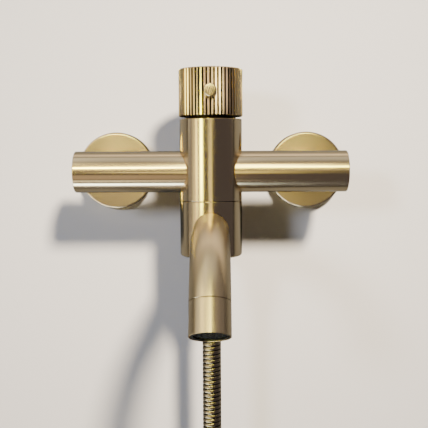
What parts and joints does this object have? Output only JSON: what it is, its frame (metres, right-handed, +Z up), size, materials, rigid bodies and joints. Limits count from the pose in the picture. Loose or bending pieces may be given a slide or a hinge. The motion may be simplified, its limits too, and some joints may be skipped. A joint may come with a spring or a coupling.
{
  "type": "bath mixer",
  "caption": "Exposed wall bath mixer: fluted knob with a lever pin on a round body, cross arms on two wall flanges, a swivelling bent spout and a shower hose.",
  "frame": {"origin": "on the wall plane, midway between the two inlets", "axes": "+Y into the wall, along the inlets; +X right, +Z up; the spout points to -Y"},
  "size_m": [0.21, 0.2173, 0.4794],
  "materials": {
    "gold_brass": "satin, brushed, champagne gold",
    "bare_brass": "machined",
    "hose_brass": "satin",
    "steel": "drawn",
    "ceramic": "lapped ceramic",
    "white_plastic": "moulded",
    "black_plastic": "moulded",
    "grey_plastic": "moulded",
    "rubber": "matt",
    "tie": "satin"
  },
  "bodies": {
    "mixer": {"wall_flange_left": "gold_brass", "union_nut_left": "gold_brass", "arm_left": "gold_brass", "arm_end_cap_left": "gold_brass", "wall_flange_right": "gold_brass", "union_nut_right": "gold_brass", "arm_right": "gold_brass", "arm_end_cap_right": "gold_brass", "mixer_body": "gold_brass", "cartridge_nut": "gold_brass", "hose_nut_top": "gold_brass", "hose_tail_top": "gold_brass", "hose_nut_bottom": "gold_brass", "hose_tail_bottom": "gold_brass", "wall_union_left": "bare_brass", "inlet_tail_left": "bare_brass", "wall_union_right": "bare_brass", "inlet_tail_right": "bare_brass", "outlet_column": "bare_brass", "hub_nut": "bare_brass", "hose_drop": "hose_brass", "hose_coil": "hose_brass", "check_valve_spring_left": "steel", "check_valve_spring_right": "steel", "ceramic_disc_fixed": "ceramic", "check_valve_case_left": "white_plastic", "check_valve_case_right": "white_plastic", "cartridge_base": "white_plastic", "cartridge_case": "white_plastic", "hub_slip_ring_upper": "white_plastic", "hub_slip_ring_lower": "white_plastic", "flange_seal_left": "rubber", "strainer_washer_left": "rubber", "flange_seal_right": "rubber", "strainer_washer_right": "rubber", "port_gasket": "rubber", "column_seals": "rubber", "hose_washer_top": "rubber", "hose_washer_bottom": "rubber", "hose_tie_upper": "tie", "hose_tie_lower": "tie"},
    "knob": {"ceramic_disc_moving": "ceramic", "cartridge_stem": "bare_brass", "stem_seal": "rubber", "knob": "gold_brass", "knob_insert": "bare_brass", "knob_grub_screw": "steel", "lever_pin": "gold_brass"},
    "spout": {"spout_hub": "gold_brass", "spout_tube": "gold_brass", "spout_collar": "gold_brass", "aerator_case": "black_plastic", "aerator_core": "grey_plastic", "aerator_seal": "rubber"},
    "poppet_left": {"check_valve_poppet_left": "grey_plastic"},
    "poppet_right": {"check_valve_poppet_right": "grey_plastic"}
  },
  "joints": [
    {"name": "knob_turn", "type": "hinge", "parent": "mixer", "child": "knob", "pos_m": [0, -0.06, 0.054], "axis": [0, 0, 1], "range_deg": [0, 110]},
    {"name": "spout_swivel", "type": "hinge", "parent": "mixer", "child": "spout", "pos_m": [0, -0.06, -0.0407], "axis": [0, 0, 1], "range_deg": [-90, 90]},
    {"name": "check_valve_left", "type": "slide", "parent": "mixer", "child": "poppet_left", "axis": [0, -1, 0], "range_m": [0, 0.003], "stiffness_N_per_m": 200, "springref_m": -0.004, "deforming": ["check_valve_spring_left"]},
    {"name": "check_valve_right", "type": "slide", "parent": "mixer", "child": "poppet_right", "axis": [0, -1, 0], "range_m": [0, 0.003], "stiffness_N_per_m": 200, "springref_m": -0.004, "deforming": ["check_valve_spring_right"]}
  ]
}
